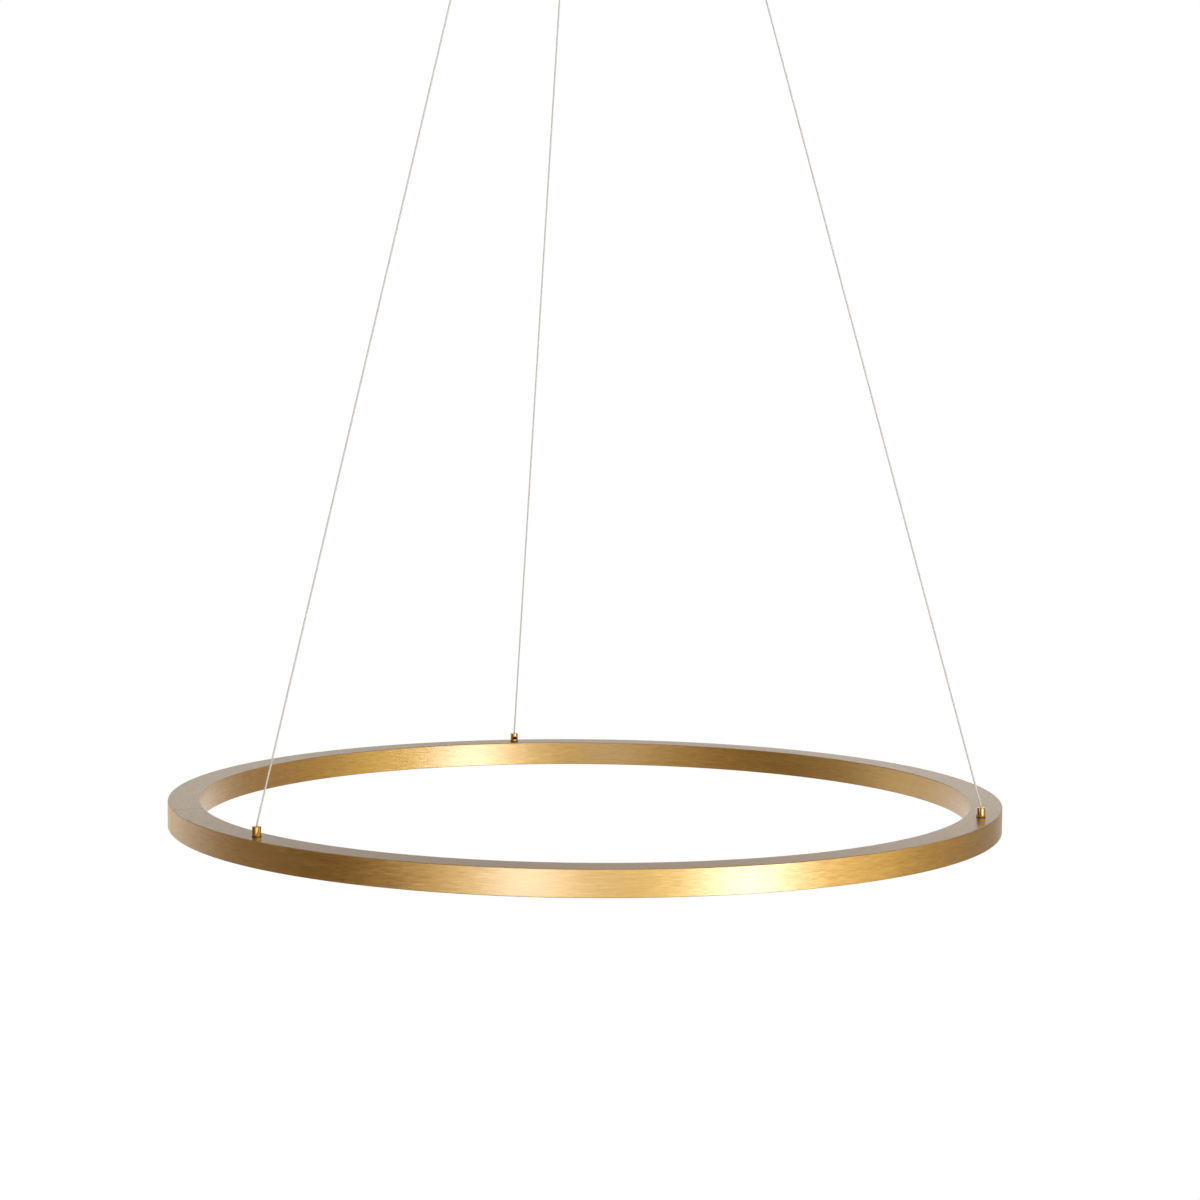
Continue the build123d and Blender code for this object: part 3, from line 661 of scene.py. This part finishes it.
def staged(name, vertices, faces, material):
    """Piece of the studio."""
    mesh = bpy.data.meshes.new(name)
    mesh.from_pydata(vertices, [], faces)
    mesh.materials.append(material)
    thing = bpy.data.objects.new(name, mesh)
    bpy.context.scene.collection.objects.link(thing)
    return thing


def reflected_only(thing):
    """Seen in reflections, but neither by the camera nor as light or shadow."""
    thing.visible_camera = False
    thing.visible_diffuse = False
    thing.visible_transmission = False
    thing.visible_volume_scatter = False
    thing.visible_shadow = False


def circle(radius, height):
    """Corners of a level circle round the Z axis."""
    turns = [2 * pi * number / CIRCLE_SIDES for number in range(CIRCLE_SIDES)]
    return [(radius * cos(turn), radius * sin(turn), height) for turn in turns]


def disc(name, radius, height, material):
    """Level disc round the Z axis."""
    return staged(name, circle(radius, height), [tuple(range(CIRCLE_SIDES))], material)


def pale_floor():
    """Pale disc that fades out towards its rim."""
    material, tree, shader = new_material("pale_floor")
    dark, pale = rgb(0.90, 0.90, 0.90), rgb(0.93, 0.93, 0.93)
    cloud = noise(tree, place(tree), scale=3.0, detail=2.0)
    span = FLOOR_RADIUS * FLOOR_SOLID, FLOOR_RADIUS
    feed(tree, shader, {
        "Base Color": between(tree, cloud, dark, pale),
        "Roughness": 0.9,
        "Alpha": mapped(tree, off_axis(tree), span, 1.0, 0.0, interpolation_type="SMOOTHSTEP"),
    })
    disc("floor", FLOOR_RADIUS, FLOOR, material).visible_glossy = False


def wall_material():
    """Tone that changes with direction and dims upwards, then pale, except at the back."""
    material, tree, shader = glowing("grey_walls")
    share = math(tree, "ADD", math(tree, "DIVIDE", bearing(tree), 2 * pi), 0.5)
    ramp = add(tree, "ShaderNodeValToRGB", {"Fac": share})
    ramp.color_ramp.interpolation = "EASE"
    stops = ramp.color_ramp.elements
    while len(stops) < len(WALL_TONES):
        stops.new(0.5)
    for stop, (direction, tone) in zip(stops, WALL_TONES.items()):
        stop.position = (direction + 180) / 360
        stop.color = rgb(*tone)
    spot = axes(tree)
    dimming = mapped(tree, spot["Z"], WALL_FADE, 1.0, WALL_DIMMED)
    feed(tree, shader, {"Color": ramp.outputs[0], "Strength": dimming})
    rise = mapped(tree, spot["Z"], UPPER_RISE, 0.0, 1.0)
    back = [WALL_RADIUS * part for part in UPPER_BACK]
    strength = math(tree, "MULTIPLY", rise, mapped(tree, spot["Y"], back, 1.0, 0.0))
    upper = add(tree, "ShaderNodeEmission", {"Color": rgb(*UPPER_TONE), "Strength": strength})
    surface(tree, add(tree, "ShaderNodeAddShader", {0: shader.outputs[0], 1: upper.outputs[0]}))
    return material


def wall_disc(name, height, middle, rim):
    """Lid or base of the round wall."""
    material, tree, shader = glowing(name)
    share = mapped(tree, off_axis(tree), DISC_FADE, 0.0, 1.0)
    feed(tree, shader, {"Color": blend(tree, share, rgb(*middle), rgb(*rim))})
    reflected_only(disc(name, WALL_RADIUS, height, material))


def round_wall():
    """Round wall with its lid and its base."""
    corners = circle(WALL_RADIUS, WALL_LOW) + circle(WALL_RADIUS, WALL_HIGH)
    faces = []
    for number in range(CIRCLE_SIDES):
        after = (number + 1) % CIRCLE_SIDES
        faces.append((number, after, after + CIRCLE_SIDES, number + CIRCLE_SIDES))
    reflected_only(staged("grey_walls", corners, faces, wall_material()))
    wall_disc("grey_lid", WALL_HIGH, LID_MIDDLE, LID_RIM)
    wall_disc("grey_base", WALL_LOW, BASE_TONE, BASE_TONE)


def softbox(name, spot, width, tall, strength, colour=(1, 1, 1)):
    """Upright panel that faces the Z axis, brightest along its middle, fading out to its sides."""
    material, tree, shader = glowing(name, strength, colour)
    off = math(tree, "DIVIDE", axes(tree)["X"], width)
    fall = math(tree, "MULTIPLY", math(tree, "MULTIPLY", off, off), GLOW_FALL)
    glow = math(tree, "EXPONENT", fall)
    clear = add(tree, "ShaderNodeBsdfTransparent").outputs[0]
    surface(tree, add(tree, "ShaderNodeMixShader", {0: glow, 1: clear, 2: shader.outputs[0]}))
    x, z = width * PANEL_REACH, tall / 2
    corners = [(-x, 0, -z), (x, 0, -z), (x, 0, z), (-x, 0, z)]
    panel = staged(name, corners, [(0, 1, 2, 3)], material)
    facing = Vector((spot[0], spot[1], 0)).to_track_quat("Y", "Z").to_matrix().to_4x4()
    panel.matrix_world = Matrix.Translation(spot) @ facing
    reflected_only(panel)


def lamp(name, spot, size, power):
    """Soft area lamp aimed at the ring."""
    data = bpy.data.lights.new(name, "AREA")
    data.shape = "DISK"
    data.size = size
    data.energy = power
    source = bpy.data.objects.new(name, data)
    source.location = spot
    source.rotation_mode = "QUATERNION"
    source.rotation_quaternion = (LAMP_TARGET - Vector(spot)).to_track_quat("-Z", "Y")
    source.visible_glossy = False
    bpy.context.scene.collection.objects.link(source)


def white_world(soft_light):
    """White as a background and in reflections, dimmer as light on the object."""
    world = bpy.data.worlds.new("studio")
    world.use_nodes = True
    tree = world.node_tree
    tree.nodes.clear()
    rays = add(tree, "ShaderNodeLightPath").outputs
    seen = math(tree, "ADD", rays["Is Camera Ray"], rays["Is Glossy Ray"])
    seen = math(tree, "ADD", seen, rays["Is Transmission Ray"])
    level = mapped(tree, seen, (0.0, 1.0), soft_light, 1.0)
    shader = add(tree, "ShaderNodeBackground", {"Color": rgb(1, 1, 1), "Strength": level})
    add(tree, "ShaderNodeOutputWorld", {"Surface": shader.outputs[0]})
    bpy.context.scene.world = world


pale_floor()
round_wall()
softbox("key_softbox", (1.165, -2.195, -1.750), width=0.72, tall=1.20, strength=6.8, colour=COOL)
softbox(
    "canopy_flag", (0.565, -1.060, -0.820), width=1.20, tall=0.62, strength=0.9, colour=FLAG_TONE
)
softbox("fill_card", (-0.265, -0.640, -1.195), width=0.135, tall=0.16, strength=3.4, colour=COOL)
softbox("front_card", (-0.300, -0.720, -1.205), width=0.55, tall=0.18, strength=1.6, colour=WARM)
softbox("inner_card", (-0.480, 0.760, -1.320), width=0.60, tall=0.50, strength=0.75, colour=WARM)
softbox("right_band", (1.200, 2.600, -0.760), width=0.70, tall=0.30, strength=1.15)
softbox("left_band", (-0.200, 2.850, -0.760), width=0.60, tall=0.30, strength=0.95)
lamp("key_lamp", (1.3, -1.9, 0.6), size=1.2, power=35.0)
lamp("top_lamp", (-0.4, 0.6, 3.2), size=2.4, power=48.0)
white_world(soft_light=0.62)


# Camera, where the photographer stood

CAMERA_PLACE = (-0.5219, -2.4597, -0.7455)
CAMERA_TURN = (-12.26, 85.417, 0.55)  # pan, tilt and roll, in degrees
CAMERA_SENSOR = 36.0
CAMERA_LENS = 78.457
CAMERA_REACH = 50.0

camera_data = bpy.data.cameras.new("camera")
camera_data.sensor_width = CAMERA_SENSOR
camera_data.lens = CAMERA_LENS
camera_data.clip_end = CAMERA_REACH
camera = bpy.data.objects.new("camera", camera_data)
pan, tilt, roll = (radians(turn) for turn in CAMERA_TURN)
aim = Matrix.Rotation(pan, 4, "Z") @ Matrix.Rotation(tilt, 4, "X") @ Matrix.Rotation(roll, 4, "Z")
camera.matrix_world = Matrix.Translation(CAMERA_PLACE) @ aim
bpy.context.scene.collection.objects.link(camera)
bpy.context.scene.camera = camera
bpy.context.scene.view_settings.view_transform = "Standard"
